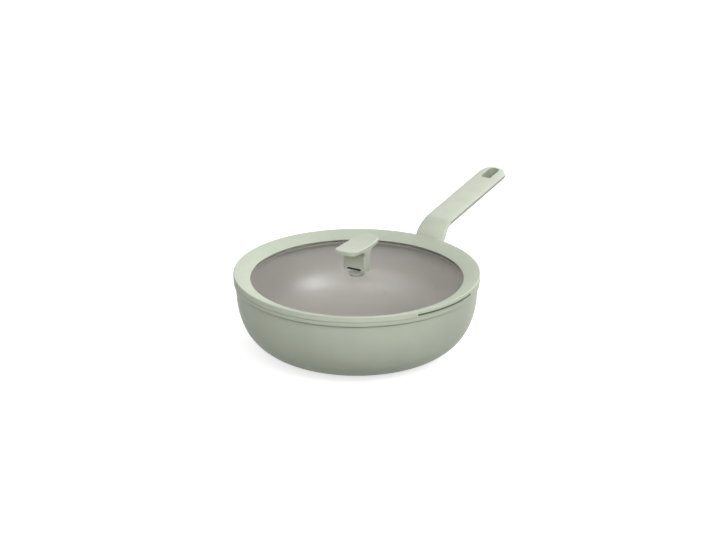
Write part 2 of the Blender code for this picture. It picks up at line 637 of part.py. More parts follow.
def build_knob_fixing(lid_axis):
    """What holds the knob: brass insert, gaskets on both faces of the glass, cup washer and screw."""
    brass = make_material("brass", BRASS_YELLOW, roughness=0.3, metallic=1.0)
    seal = make_material("clear_grey_silicone", SEAL_GREY, roughness=0.6)
    steel = make_material("stainless_steel", STEEL_GREY, roughness=0.25, metallic=1.0)
    bore = KNOB_SCREW_RADIUS + SEAT_GAP
    insert_low = INSERT_FOOT - LID_SEAT
    make_ring("knob_insert", bore, INSERT_RADIUS, insert_low, insert_low + KNOB_INSERT_LENGTH, SEAT_GAP,
              material=brass, parent=lid_axis)

    glass_top = GLASS_TOP - LID_SEAT
    upper_low = glass_top + SEAT_GAP
    make_ring("upper_gasket", bore, UPPER_GASKET_RADIUS, upper_low, upper_low + UPPER_GASKET_THICKNESS,
              SEAT_GAP, material=seal, parent=lid_axis)

    lower_top = GLASS_UNDERSIDE - LID_SEAT - SEAT_GAP
    lower_low = lower_top - LOWER_GASKET_THICKNESS
    collar = GLASS_HOLE_RADIUS - SEAT_GAP
    outline = [(bore, lower_low), (LOWER_GASKET_RADIUS, lower_low), (LOWER_GASKET_RADIUS, lower_top),
               (collar, lower_top), (collar, lower_top + GLASS_THICKNESS), (bore, lower_top + GLASS_THICKNESS)]
    make_object("lower_gasket", turned(outline, SMALL_ROUND_STEPS), wrap=True, material=seal, parent=lid_axis)

    washer_top = lower_low - SEAT_GAP
    washer_low = washer_top - CUP_WASHER_THICKNESS
    cup = [(bore, washer_low), (CUP_WASHER_RADIUS - CUP_WASHER_RIM, washer_low),
           (CUP_WASHER_RADIUS, washer_low - CUP_WASHER_RIM), (CUP_WASHER_RADIUS, washer_top),
           (bore, washer_top)]
    make_object("cup_washer", turned(cup, SMALL_ROUND_STEPS), wrap=True, material=steel, parent=lid_axis)
    place = {"parent": lid_axis, "location": (0.0, 0.0, 0.0)}
    make_screw("knob_screw", KNOB_SCREW_RADIUS, KNOB_SCREW_HEAD_RADIUS, KNOB_SCREW_HEAD_HEIGHT,
               washer_low - SEAT_GAP, insert_low + KNOB_SCREW_BITE, steel, place)


def build_pan():
    root, neck, _, _ = handle_path()
    wall = MOUTH_RADIUS + WALL_THICKNESS
    root_direction = (neck - root).normalized()
    start = neck - root_direction * (neck.x - wall) / root_direction.x
    lug_frame = make_empty("lug_frame", (start.x, 0.0, start.y), ROOT_SLOPE)
    build_wok_body(lug_frame)
    build_induction_plate()
    build_handle(lug_frame)
    build_handle_fixing(lug_frame)


def build_lid():
    lid_axis = make_empty("lid_lift_axis", (0.0, 0.0, LID_SEAT))
    build_lid_glass(lid_axis)
    build_lid_rim(lid_axis)
    build_knob(make_empty("knob_frame", (0.0, 0.0, 0.0), turn=KNOB_TURN, parent=lid_axis))
    build_knob_fixing(lid_axis)


clear_scene()
build_pan()
build_lid()
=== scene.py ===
"""Looks of the wok with lid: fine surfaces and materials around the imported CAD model, in metres, +Z up."""
import math

import bmesh
import bpy
from mathutils import Matrix, Vector


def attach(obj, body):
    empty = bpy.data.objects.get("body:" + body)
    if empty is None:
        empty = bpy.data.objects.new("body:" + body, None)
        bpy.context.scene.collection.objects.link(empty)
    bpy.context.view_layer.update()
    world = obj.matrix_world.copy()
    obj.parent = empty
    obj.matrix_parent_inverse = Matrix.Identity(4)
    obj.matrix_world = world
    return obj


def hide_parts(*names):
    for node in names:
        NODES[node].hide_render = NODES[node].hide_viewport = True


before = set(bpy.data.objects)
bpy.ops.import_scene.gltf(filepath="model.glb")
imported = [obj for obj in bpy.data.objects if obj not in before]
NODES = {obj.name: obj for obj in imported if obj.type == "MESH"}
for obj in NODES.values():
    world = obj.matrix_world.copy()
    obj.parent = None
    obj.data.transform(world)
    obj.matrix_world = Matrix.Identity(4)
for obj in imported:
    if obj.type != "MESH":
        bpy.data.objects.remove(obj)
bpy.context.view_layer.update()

# Bowl and base plate, as the CAD model has them
GAP = 0.0003
BASE_RADIUS = 0.0625
WALL_RADIUS = 0.1447
WALL_HEIGHT = 0.0841
WALL_POWER_ACROSS = 2.86
WALL_POWER_UP = 2.455
WALL_THICKNESS = 0.0040
BASE_THICKNESS = 0.0055
FLOOR_RADIUS = 0.0900
FLANGE_RADIUS = 0.1471
FLANGE_TOP = 0.0891
FLANGE_ROUNDING = 0.0008
MOUTH_RADIUS = 0.1407
MOUTH_ROUNDING = 0.0012
PLATE_RADIUS = 0.0560
PLATE_THICKNESS = 0.0012
PLATE_EDGE = 0.0003

# Lug and its screw, in the lug's frame: lengths up its slope, heights square to it
LUG_SLOPE = math.radians(62.0)
LUG_HALF_WIDTH = 0.0100
LUG_ROOT_LENGTH = 0.0080
LUG_LENGTH = 0.0210
LUG_CORNER = 0.0050
LUG_LOW = -0.0050
LUG_TOP = 0.0005
LUG_SCREW = 0.0115
INSERT_BORE_RADIUS = 0.0037
SCREW_BORE_RADIUS = 0.0023
HEAD_BORE_RADIUS = 0.0042
HEAD_SEAT = -0.0077

# Handle
NECK_OFFSET = 0.01025
NECK_SLOPE = math.radians(51.4)
NECK_RISE = 0.01276
ROOT_DROP = 0.0480
BLADE_SLOPE = math.radians(12.5)
BLADE_LENGTH = 0.14833
ROOT_BEND_RADIUS = 0.0300
NECK_BEND_RADIUS = 0.0292
ROOT_WIDTH = 0.0435
NECK_WIDTH = 0.0415
BLADE_WIDTH = 0.0374
CROWN_DEPTH = 0.0029
BELLY_DEPTH = 0.0093
HEEL_DEPTH = 0.0150
HEEL_ROUNDING = 0.0140
TIP_ROUNDING = 0.0166
TIP_EDGE_ROUNDING = 0.0060
CROWN_POWER = 2.4
BELLY_POWER = 2.4
TIP_POWER = 2.2

# Hanging slot, with its ends measured from the handle's tip
SLOT_NEAR = -0.0312
SLOT_FAR = -0.0062
SLOT_HALF_WIDTH = 0.00690
SLOT_CORNER = 0.0022
SLOT_END_RADIUS = 0.0063
SLOT_EDGE = 0.0005
# Height over the blade's widest plane, and how far the slot's sides draw in there
SLOT_DRAFT = ((-0.0150, 0.0017), (-0.0080, 0.0015), (-0.0020, 0.00065))

# Rim and glass of the lid
LID_CLEARANCE = 0.0012
LID_RADIUS = 0.1475
LID_SEAT = 0.0894
LID_TOP = 0.0971
LID_EDGE = 0.0010
RIM_INNER_RADIUS = 0.1276
RIM_INNER_TOP = 0.0894
PLUG_RADIUS = 0.1398
PLUG_LOW = 0.0806
PLUG_WALL = 0.0045
LOWER_LIP_REACH = 0.0050
LOWER_LIP_THICKNESS = 0.0010
GLASS_RISE = 0.0110
GLASS_THICKNESS = 0.0040
GLASS_RADIUS = 0.1340
GLASS_TOP = 0.0984
GLASS_UNDERSIDE = 0.0944
GLASS_EDGE = 0.0006
GLASS_HOLE_RADIUS = 0.0040
STEAM_HOLE_RADIUS = 0.0020
STEAM_HOLE_CENTRE = (-0.0010, 0.0073)

# Straining slits of the rim: the middle's azimuths and the span in degrees, and heights over the lid's seat
SLIT_AZIMUTHS = (-97.85, 82.15)
SLIT_SPAN = 35.8
SLIT_LOW = 0.0011
SLIT_HIGH = 0.0034
SLIT_INNER_TOP = 0.0010
SLIT_DEEP = -0.0176
SLIT_PASSAGE = 0.0030
SLIT_SHOULDER = 0.0045

# Knob
KNOB_FOOT = 0.0987
KNOB_TOP = 0.1319
KNOB_PLATE_LOW = 0.1264
KNOB_HALF_LENGTH = 0.0335
KNOB_WIDTH = 0.0310
KNOB_END_WIDTH = 0.0272
KNOB_DIP = 0.0020
KNOB_TURN = math.radians(6.5)
KNOB_PLATE_EDGE = 0.0011
KNOB_PLATE_CORNER = 0.0085
STEM_HALF_DEPTH = 0.0065
STEM_FLARE = 0.0080
STEM_CORNER = 0.0030
STEM_FOOT_EDGE = 0.0003
STEM_LEVELS = (0.0120, 0.0060)
# Distances from the knob's side at which its outline is drawn, close together where its edges are round
KNOB_DISTANCES = (0.0, 0.0001, 0.00025, 0.0005, 0.0008, 0.0011, 0.0016, 0.0022, 0.0030, 0.0042, 0.0060, 0.0085)

# Steam vent in the knob's foot, with heights over the foot
VENT_HALF_WIDTH = 0.0095
VENT_TOP = 0.0031
VENT_CORNER = 0.0018
VENT_MOUTH = dict(low=-0.0035, near=-0.0080, far=-0.0047)
VENT_CHAMBER = dict(low=0.0004, near=-0.0060, far=0.0020)
STEAM_PASSAGE_RADIUS = 0.0012
STEAM_PASSAGE_CENTRE = (-0.0002, 0.0074)
BOSS_RADIUS = 0.0050

# Fixing of the knob
BELOW_KNOB = 0.0900
KNOB_INSERT_LOW = 0.1000
KNOB_INSERT_LENGTH = 0.0123
KNOB_INSERT_BORE_RADIUS = 0.0041
UPPER_GASKET_BORE_RADIUS = 0.0049
GASKET_RADIUS = 0.0100
GASKET_THICKNESS = 0.0012
COLLAR_RADIUS = 0.0037
WASHER_RADIUS = 0.0088
WASHER_FLAT_RADIUS = 0.0076
WASHER_THICKNESS = 0.0010
WASHER_DISH = 0.0012

# Fineness of turned and lofted surfaces
SPINS = 192
SMALL_SPINS = 64
HOLE_SPINS = 24
ARC = 6
SMALL_ARC = 3
WALL_STEPS = 40
GLASS_STEPS = 40
SLIT_STEPS = 40
SECTION_STEPS = 72
BEND_STEPS = 14
BLADE_STEPS = 24
FLARE_STEPS = 10
PLATE_STEPS = 8
SMOOTH_ANGLE = math.radians(40.0)

# How far a cutter reaches past what it cuts
REACH = 0.0300


# Mesh helpers

def link(name, data):
    thing = bpy.data.objects.new(name, data)
    bpy.context.scene.collection.objects.link(thing)
    return thing


def smooth(mesh):
    mesh.shade_smooth()
    mesh.set_sharp_from_angle(angle=SMOOTH_ANGLE)


class Shell:
    """A mesh in the making, in which points at one place share a vertex."""

    def __init__(self):
        self.shape = bmesh.new()
        self.vertices = {}

    def vertex(self, point):
        spot = tuple(round(value, 8) for value in point)
        if spot not in self.vertices:
            self.vertices[spot] = self.shape.verts.new(point)
        return self.vertices[spot]

    def face(self, corners, slot=0):
        corners = tuple(dict.fromkeys(corners))
        if len(corners) > 2:
            self.shape.faces.new(corners).material_index = slot

    def band(self, loop, follower, slots=None):
        """Faces between two closed loops of as many vertices; slots gives the material slot of each step."""
        for index in range(len(loop)):
            after = (index + 1) % len(loop)
            self.face((loop[index], follower[index], follower[after], loop[after]), slots[index] if slots else 0)

    def finish(self, name):
        bmesh.ops.recalc_face_normals(self.shape, faces=self.shape.faces)
        mesh = bpy.data.meshes.new(name)
        self.shape.to_mesh(mesh)
        self.shape.free()
        smooth(mesh)
        return link(name, mesh)


def skin(name, rings, wrap=False, slots=None):
    """A closed surface over rings of points, which joins its last ring to the first or closes both ends."""
    shell = Shell()
    loops = [[shell.vertex(point) for point in ring] for ring in rings]
    for loop, follower in zip(loops, loops[1:] + loops[:1] if wrap else loops[1:]):
        shell.band(loop, follower, slots)
    if not wrap:
        shell.face(loops[0])
        shell.face(loops[-1])
    return shell.finish(name)


def fillet(corners, closed=True, steps=ARC):
    """Points of a line through (x, y, radius) corners, each turned into an arc of its radius."""
    points = []
    for index, (x, y, radius) in enumerate(corners):
        here = Vector((x, y))
        if radius == 0.0 or (not closed and index in (0, len(corners) - 1)):
            points.append(here)
            continue
        back = (Vector(corners[index - 1][:2]) - here).normalized()
        ahead = (Vector(corners[(index + 1) % len(corners)][:2]) - here).normalized()
        half_corner = back.angle(ahead) / 2
        centre = here + (back + ahead).normalized() * radius / math.sin(half_corner)
        start = here + back * radius / math.tan(half_corner) - centre
        sweep = math.copysign(math.pi - 2 * half_corner, back.y * ahead.x - back.x * ahead.y)
        for step in range(steps + 1):
            angle = math.atan2(start.y, start.x) + sweep * step / steps
            points.append(centre + radius * Vector((math.cos(angle), math.sin(angle))))
    return points


def turned(outline, steps=SPINS, start=0.0, span=math.tau, centre=(0.0, 0.0)):
    """Rings of an outline of (radius, height) points turned about Z."""
    count = steps if span == math.tau else steps + 1
    angles = [start + span * step / steps for step in range(count)]
    return [[(centre[0] + r * math.cos(a), centre[1] + r * math.sin(a), z) for r, z in outline] for a in angles]


def lathe(name, outline, steps=SPINS, centre=(0.0, 0.0), slots=None):
    """A body turned about Z from its whole outline."""
    return skin(name, turned(outline, steps, centre=centre), wrap=True, slots=slots)


def drum(name, radius, low, high, steps=SMALL_SPINS, centre=(0.0, 0.0)):
    return lathe(name, [(0.0, low), (radius, low), (radius, high), (0.0, high)], steps, centre)


def prism(name, plan, heights):
    """A plan of (x, y) points drawn out from one height to the other."""
    return skin(name, [[(x, y, z) for x, y in plan] for z in heights])


def combine(target, tool, operation, keep_material=False):
    """Cut a tool out of the target or join it on, leaving one plain mesh; the tool's material can go with it."""
    modifier = target.modifiers.new(tool.name, "BOOLEAN")
    modifier.operation = operation
    modifier.solver = "EXACT"
    modifier.material_mode = "TRANSFER" if keep_material else "INDEX"
    modifier.object = tool
    bpy.context.view_layer.update()
    result = bpy.data.meshes.new_from_object(target.evaluated_get(bpy.context.evaluated_depsgraph_get()))
    target.modifiers.clear()
    target.data = result
    smooth(result)
    bpy.data.objects.remove(tool, do_unlink=True)


def place(thing, origin, slope):
    """Moves a mesh drawn in a sloping frame, whose X climbs in the XZ plane, into the row frame."""
    thing.data.transform(Matrix.Translation(origin) @ Matrix.Rotation(-slope, 4, "Y"))
    thing.data.update()
    return thing


# Materials

def add_node(tree, kind, inputs=None, **settings):
    """A shader node with its settings; each input, by name or number, takes a value or another node's output."""
    node = tree.nodes.new("ShaderNode" + kind)
    for name, value in settings.items():
        setattr(node, name, value)
    for key, value in (inputs or {}).items():
        if isinstance(value, bpy.types.NodeSocket):
            tree.links.new(value, node.inputs[key])
        else:
            node.inputs[key].default_value = value
    return node


class Surface:
    """A Principled material whose colour, roughness and relief come from noise in the piece's own space."""

    def __init__(self, name, colour, roughness, **sockets):
        self.base = colour
        self.material = bpy.data.materials.new(name)
        self.material.use_nodes = True
        self.tree = self.material.node_tree
        self.shader = self.tree.nodes["Principled BSDF"]
        self.space = add_node(self.tree, "TexCoord").outputs["Object"]
        self.shader.inputs["Base Color"].default_value = (*colour, 1.0)
        self.shader.inputs["Roughness"].default_value = roughness
        for socket, value in sockets.items():
            self.shader.inputs[socket.replace("_", " ")].default_value = value

    def noise(self, scale, detail=2.0, roughness=0.5, stretch=None):
        space = self.space
        if stretch:
            space = add_node(self.tree, "Mapping", {"Vector": space, "Scale": stretch}).outputs["Vector"]
        return add_node(self.tree, "TexNoise", {"Vector": space, "Scale": scale, "Detail": detail,
                                                "Roughness": roughness}).outputs["Fac"]

    def colour(self, factor, low, high, start=0.35, end=0.65):
        """Base colour from low to high times the surface's own, as the factor goes from start to end."""
        ramp = add_node(self.tree, "ValToRGB", {"Fac": factor})
        for element, position, share in zip(ramp.color_ramp.elements, (start, end), (low, high)):
            element.position = position
            element.color = (*(channel * share for channel in self.base), 1.0)
        self.tree.links.new(ramp.outputs["Color"], self.shader.inputs["Base Color"])

    def roughness(self, factor, low, high, start=0.3, end=0.7):
        """Roughness from low to high as the factor goes from start to end."""
        spread = add_node(self.tree, "MapRange", {"Value": factor, "From Min": start, "From Max": end,
                                                  "To Min": low, "To Max": high})
        self.tree.links.new(spread.outputs["Result"], self.shader.inputs["Roughness"])

    def relief(self, height, depth):
        """Bump from a height field, depth in metres."""
        bump = add_node(self.tree, "Bump", {"Height": height, "Distance": depth, "Strength": 1.0})
        self.tree.links.new(bump.outputs["Normal"], self.shader.inputs["Normal"])


def coated_metal():
    """Satin ceramic coat outside the bowl, with the faint orange peel of a sprayed coat."""
    coat = Surface("sage_ceramic_coat", (0.466, 0.506, 0.415), 0.42, Specular_IOR_Level=0.05)
    coat.colour(coat.noise(38.0, 4.0), 0.975, 1.02)
    coat.roughness(coat.noise(160.0, 3.0), 0.38, 0.47)
    coat.relief(coat.noise(900.0), 0.000020)
    return coat.material


def bowl_inside():
    """Smooth warm grey non-stick ceramic inside the bowl."""
    inside = Surface("ceramic_inside", (0.300, 0.271, 0.254), 0.35, Specular_IOR_Level=0.75)
    inside.colour(inside.noise(180.0, 3.0), 0.96, 1.04, start=0.0, end=1.0)
    inside.roughness(inside.noise(240.0), 0.25, 0.33, start=0.0, end=1.0)
    inside.relief(inside.noise(700.0), 0.000015)
    return inside.material


def silicone(name, sage):
    """Matte silicone with a soft sheen and a barely grained face."""
    rubber = Surface(name, sage, 0.55, Specular_IOR_Level=0.05)
    rubber.colour(rubber.noise(55.0, 5.0, 0.6), 0.97, 1.02)
    rubber.roughness(rubber.noise(240.0, 3.0), 0.50, 0.62)
    rubber.relief(rubber.noise(1500.0), 0.000018)
    return rubber.material


def soft_touch(name, sage):
    """Soft-touch lacquer on moulded plastic, with a fine leathery grain."""
    soft = Surface(name, sage, 0.45, Specular_IOR_Level=0.30)
    soft.colour(soft.noise(70.0, 4.0), 0.975, 1.02)
    soft.roughness(soft.noise(300.0, 3.0), 0.40, 0.50)
    soft.relief(soft.noise(1800.0), 0.000015)
    return soft.material


def painted_hollow_shade(name, dark):
    """Dark matte plastic-like surface on the cut faces of hollows: painted shade."""
    shade_surface = Surface(name, dark, 0.7)
    shade_surface.colour(shade_surface.noise(400.0, 3.0), 0.95, 1.05)
    shade_surface.relief(shade_surface.noise(2000.0), 0.000020)
    return shade_surface.material


def tempered_glass():
    """Clear glass with a faint haze, that lets the lamps through to the bowl."""
    glass = Surface("tempered_glass", (0.93, 0.95, 0.94), 0.04, Transmission_Weight=1.0, IOR=1.06)
    glass.roughness(glass.noise(260.0, 3.0), 0.035, 0.055, start=0.0, end=1.0)
    tree = glass.tree
    shadow = add_node(tree, "LightPath").outputs["Is Shadow Ray"]
    clear = add_node(tree, "BsdfTransparent", {"Color": (0.86, 0.88, 0.87, 1.0)})
    mix = add_node(tree, "MixShader", {"Fac": shadow, 1: glass.shader.outputs["BSDF"], 2: clear.outputs["BSDF"]})
    tree.links.new(mix.outputs["Shader"], tree.nodes["Material Output"].inputs["Surface"])
    return glass.material


def brushed(name, colour, roughness, scale=220.0):
    """Metal with fine turning marks."""
    metal = Surface(name, colour, roughness, Metallic=1.0)
    grain = metal.noise(scale, 3.0, 0.6, stretch=(1.0, 1.0, 12.0))
    metal.roughness(grain, roughness - 0.08, roughness + 0.08)
    metal.colour(metal.noise(90.0, 3.0), 0.94, 1.03)
    metal.relief(grain, 0.00001)
    return metal.material


def plain_seal(name, grey):
    """Solid silicone of a gasket."""
    seal = Surface(name, grey, 0.55)
    seal.colour(seal.noise(120.0, 3.0), 0.95, 1.04)
    seal.relief(seal.noise(1500.0), 0.000015)
    return seal.material


def dress(thing, *materials):
    for material in materials:
        thing.data.materials.append(material)
    return thing


# Line of the handle

def handle_path():
    """Corners of the handle's widest plane in XZ, from inside the wall to the tip."""
    neck = Vector((LID_RADIUS + NECK_OFFSET, LID_TOP))
    root = neck - ROOT_DROP * Vector((1 / math.tan(LUG_SLOPE), 1.0))
    bend = neck + NECK_RISE * Vector((1 / math.tan(NECK_SLOPE), 1.0))
    tip = bend + BLADE_LENGTH * Vector((math.cos(BLADE_SLOPE), math.sin(BLADE_SLOPE)))
    return root, neck, bend, tip


def place_on_lug(thing):
    """Moves a mesh from the lug's frame, whose origin lies where the handle's line leaves the wall's radius."""
    root, neck = handle_path()[:2]
    direction = (neck - root).normalized()
    start = neck - direction * (neck.x - WALL_RADIUS) / direction.x
    return place(thing, (start.x, 0.0, start.y), LUG_SLOPE)


def lug_plan(root_length, gap=0.0):
    """Plan of the lug, or of its socket with a gap round it."""
    end, half_width = LUG_LENGTH + gap, LUG_HALF_WIDTH + gap
    return fillet([(-root_length, -half_width, 0.0), (end, -half_width, LUG_CORNER),
                   (end, half_width, LUG_CORNER), (-root_length, half_width, 0.0)])


# Pan

def wall_point(angle, offset):
    """A point of the bowl's outer curve, moved outward by offset along the curve's normal."""
    def curve(at):
        across = max(math.cos(at), 0.0) ** (2 / WALL_POWER_ACROSS)
        up = 1 - max(math.sin(at), 0.0) ** (2 / WALL_POWER_UP)
        return Vector((BASE_RADIUS + (WALL_RADIUS - BASE_RADIUS) * across, WALL_HEIGHT * up))

    nudge = 0.001
    tangent = curve(min(angle + nudge, math.pi / 2)) - curve(max(angle - nudge, 0.0))
    return curve(angle) + Vector((-tangent.y, tangent.x)).normalized() * offset


def wall_curve(offset=0.0):
    """The bowl's curve from its top edge down to its base."""
    return [wall_point(math.pi / 2 * step / WALL_STEPS, offset) for step in range(WALL_STEPS + 1)]


def build_bowl():
    """Bowl with the lug: coat outside and on the flange, non-stick ceramic inside."""
    recess = PLATE_THICKNESS + GAP
    recess_radius = PLATE_RADIUS + GAP
    groove, groove_bottom, groove_edge = 0.0013, 0.0009, 0.0003
    base = fillet([(0.0, recess, 0.0), (recess_radius, recess, 0.0), (recess_radius, 0.0, PLATE_EDGE),
                   (BASE_RADIUS, 0.0, 0.0)], closed=False)[:-1]
    outside = wall_curve()[:0:-1]
    flange = fillet([
        (WALL_RADIUS, WALL_HEIGHT - groove, 0.0),
        (WALL_RADIUS - groove, WALL_HEIGHT - groove_bottom, groove_edge),
        (WALL_RADIUS - groove, WALL_HEIGHT, groove_edge),
        (FLANGE_RADIUS, WALL_HEIGHT, FLANGE_ROUNDING),
        (FLANGE_RADIUS, FLANGE_TOP, FLANGE_ROUNDING),
        (MOUTH_RADIUS, FLANGE_TOP, MOUTH_ROUNDING),
        (MOUTH_RADIUS, WALL_HEIGHT, 0.0),
    ], closed=False)
    inside = [point for point in wall_curve(-WALL_THICKNESS)[1:] if point.y > BASE_THICKNESS]
    floor = [(FLOOR_RADIUS * share, BASE_THICKNESS) for share in (1.0, 0.75, 0.5, 0.25, 0.0)]
    outline = base + outside + flange + inside + floor
    first_inside = len(base) + len(outside) + len(flange) - 3
    slots = [1 if first_inside <= index < len(outline) - 1 else 0 for index in range(len(outline))]
    bowl = dress(lathe("bowl", outline, slots=slots), coated_metal(), bowl_inside())

    lug = place_on_lug(prism("lug", lug_plan(LUG_ROOT_LENGTH), (LUG_LOW, LUG_TOP)))
    middle = [(0.0, 0.0)] + wall_curve(-WALL_THICKNESS / 2)[::-1] + [(0.0, WALL_HEIGHT)]
    combine(lug, lathe("wall_middle", middle), "DIFFERENCE")
    combine(bowl, lug, "UNION")
    bore = drum("lug_bore", INSERT_BORE_RADIUS, -REACH, LUG_TOP + GAP, centre=(LUG_SCREW, 0.0))
    combine(bowl, place_on_lug(bore), "DIFFERENCE")
    return bowl


def build_base_plate():
    """Steel disc with turned grooves in its face."""
    groove, land, depth = 0.0008, 0.0062, 0.00025
    outline = [(0.0, 0.0, 0.0)]
    radius = 0.0100
    while radius < PLATE_RADIUS - land:
        outline += [(radius, 0.0, 0.0), (radius + groove / 4, depth, 0.0), (radius + 3 * groove / 4, depth, 0.0),
                    (radius + groove, 0.0, 0.0)]
        radius += land
    outline += [(PLATE_RADIUS, 0.0, PLATE_EDGE), (PLATE_RADIUS, PLATE_THICKNESS, PLATE_EDGE),
                (0.0, PLATE_THICKNESS, 0.0)]
    return dress(lathe("base_plate", fillet(outline, steps=SMALL_ARC)),
                 brushed("base_steel", (0.62, 0.62, 0.61), 0.36))


def handle_points():
    """Where the handle's rings stand on its line, close together at its rounded ends."""
    root, neck, bend, tip = handle_path()
    line = fillet([(*root, 0.0), (*neck, ROOT_BEND_RADIUS), (*bend, NECK_BEND_RADIUS), (*tip, 0.0)],
                  closed=False, steps=BEND_STEPS)
    root_direction = (neck - root).normalized()
    blade_direction = (tip - bend).normalized()
    quarter = [math.pi / 2 * step / BEND_STEPS for step in range(1, BEND_STEPS + 1)]
    heel = [root + root_direction * HEEL_ROUNDING * (1 - math.cos(turn)) for turn in quarter]
    blade_start = line[-2]
    blade_end = tip - blade_direction * TIP_ROUNDING
    blade = [blade_start + (blade_end - blade_start) * step / BLADE_STEPS for step in range(1, BLADE_STEPS + 1)]
    ends = [tip - blade_direction * TIP_ROUNDING * (1 - math.sin(turn)) for turn in quarter[:-1]]
    just_short = 0.0008
    return heel + line[1:-1] + blade + ends + [tip - blade_direction * TIP_ROUNDING * just_short]


def handle_rings():
    root, neck, bend, tip = handle_path()
    points = handle_points()
    neck_length = (neck - root).length
    bend_length = neck_length + (bend - neck).length
    rings = []
    travelled = (points[0] - root).length
    for index, point in enumerate(points):
        before = points[max(index - 1, 0)]
        direction = (points[min(index + 1, len(points) - 1)] - before).normalized()
        travelled += (point - before).length
        if travelled < neck_length:
            share = travelled / neck_length
            width = ROOT_WIDTH + (NECK_WIDTH - ROOT_WIDTH) * share
            belly = HEEL_DEPTH + (BELLY_DEPTH - HEEL_DEPTH) * share * share * (3 - 2 * share)
        else:
            share = min((travelled - neck_length) / (bend_length - neck_length), 1.0)
            width = NECK_WIDTH + (BLADE_WIDTH - NECK_WIDTH) * share
            belly = BELLY_DEPTH
        belly *= math.sqrt(1 - (1 - min(travelled / HEEL_ROUNDING, 1.0)) ** 2)
        to_tip = (tip - point).length
        width *= (1 - max(1 - to_tip / TIP_ROUNDING, 0.0) ** TIP_POWER) ** (1 / TIP_POWER)
        thinning = math.sqrt(1 - max(1 - to_tip / TIP_EDGE_ROUNDING, 0.0) ** 2)
        rings.append(handle_section(point, direction, width / 2, CROWN_DEPTH * thinning, belly * thinning))
    return rings


def handle_section(point, direction, half_width, crown, belly):
    """One ring round the handle: a flat crown above its widest plane and a full belly below."""
    ring = []
    normal = Vector((-direction.y, direction.x))
    for step in range(SECTION_STEPS):
        turn = math.tau * step / SECTION_STEPS
        across, up = math.cos(turn), math.sin(turn)
        power, depth = (CROWN_POWER, crown) if up > 0 else (BELLY_POWER, belly)
        side = math.copysign(abs(across) ** (2 / power), across) * half_width
        spot = point + normal * math.copysign(abs(up) ** (2 / power), up) * depth
        ring.append((spot.x, side, spot.y))
    return ring


def paint_belly_shade(handle):
    """Gives the blade's underside the second material, a darker tone: painted shade of the faces turned downward.
    """
    bend, tip = handle_path()[2:]
    start, edge = bend.x + 0.0060, -0.0003
    for face in handle.data.polygons:
        below = Vector((face.center.x, face.center.z)) - tip
        height = below.y * math.cos(BLADE_SLOPE) - below.x * math.sin(BLADE_SLOPE)
        if face.center.x > start and height < edge:
            face.material_index = 1


def slot_ring(height, offset):
    """Outline of the hanging slot, widened by offset, in the blade's frame with its origin at the tip."""
    near, far, half = SLOT_NEAR - offset, SLOT_FAR + offset, SLOT_HALF_WIDTH + offset
    corner, end = SLOT_CORNER + offset, SLOT_END_RADIUS + offset
    plan = fillet([(near, -half, corner), (far, -half, end), (far, half, end), (near, half, corner)],
                  steps=BEND_STEPS)
    return [(x, y, height) for x, y in plan]


def build_slot():
    """Cutter of the hanging slot, which flares into the crown with a round edge."""
    top, above = CROWN_DEPTH - 0.0001, 0.0100
    turns = [math.pi / 2 * step / ARC for step in range(ARC + 1)]
    rings = [slot_ring(height, -draft) for height, draft in SLOT_DRAFT]
    rings += [slot_ring(top - SLOT_EDGE + SLOT_EDGE * math.sin(turn), SLOT_EDGE * (1 - math.cos(turn)))
              for turn in turns]
    rings += [slot_ring(above, SLOT_EDGE)]
    tip = handle_path()[3]
    slot = place(skin("slot_cutter", rings), (tip.x, 0.0, tip.y), BLADE_SLOPE)
    # The slot's walls get a darker tone: painted shade inside the slot.
    return dress(slot, painted_hollow_shade("slot_painted_shade", (0.350, 0.378, 0.300)))


def build_handle():
    # The handle's soft-touch tone is set lighter than the knob's: its own colour plus painted light for the sheen
    # its top catches.
    handle = dress(skin("handle_grip", handle_rings()),
                   soft_touch("soft_touch_handle_and_painted_light", (0.575, 0.618, 0.514)),
                   soft_touch("soft_touch_belly_painted_shade", (0.330, 0.350, 0.290)))
    # Darkens the blade's underside with the second material: painted shade.
    paint_belly_shade(handle)
    bowl = [(0.0, 0.0)] + wall_curve(GAP)[::-1]
    lid_wall = LID_RADIUS + LID_CLEARANCE
    clearance = bowl[:-1] + [(WALL_RADIUS + GAP, WALL_HEIGHT - GAP), (lid_wall, WALL_HEIGHT - GAP),
                             (lid_wall, LID_TOP), (0.0, LID_TOP)]
    combine(handle, lathe("bowl_clearance", clearance), "DIFFERENCE")
    socket = prism("lug_socket", lug_plan(HEEL_ROUNDING, GAP), (LUG_LOW - GAP, LUG_TOP + GAP))
    combine(handle, place_on_lug(socket), "DIFFERENCE")
    hole = lathe("screw_hole", [
        (0.0, LUG_TOP + GAP), (SCREW_BORE_RADIUS, LUG_TOP + GAP), (SCREW_BORE_RADIUS, HEAD_SEAT),
        (HEAD_BORE_RADIUS, HEAD_SEAT), (HEAD_BORE_RADIUS, -REACH), (0.0, -REACH),
    ], SMALL_SPINS, centre=(LUG_SCREW, 0.0))
    combine(handle, place_on_lug(hole), "DIFFERENCE")
    combine(handle, build_slot(), "DIFFERENCE", keep_material=True)
    return handle


# Lid

def glass_height(radius, surface=0.0):
    """Height of the dome over a radius, moved up by surface."""
    dome = (RIM_INNER_RADIUS ** 2 + GLASS_RISE ** 2) / (2 * GLASS_RISE)
    return GLASS_TOP + surface - dome + math.sqrt(dome ** 2 - radius ** 2)


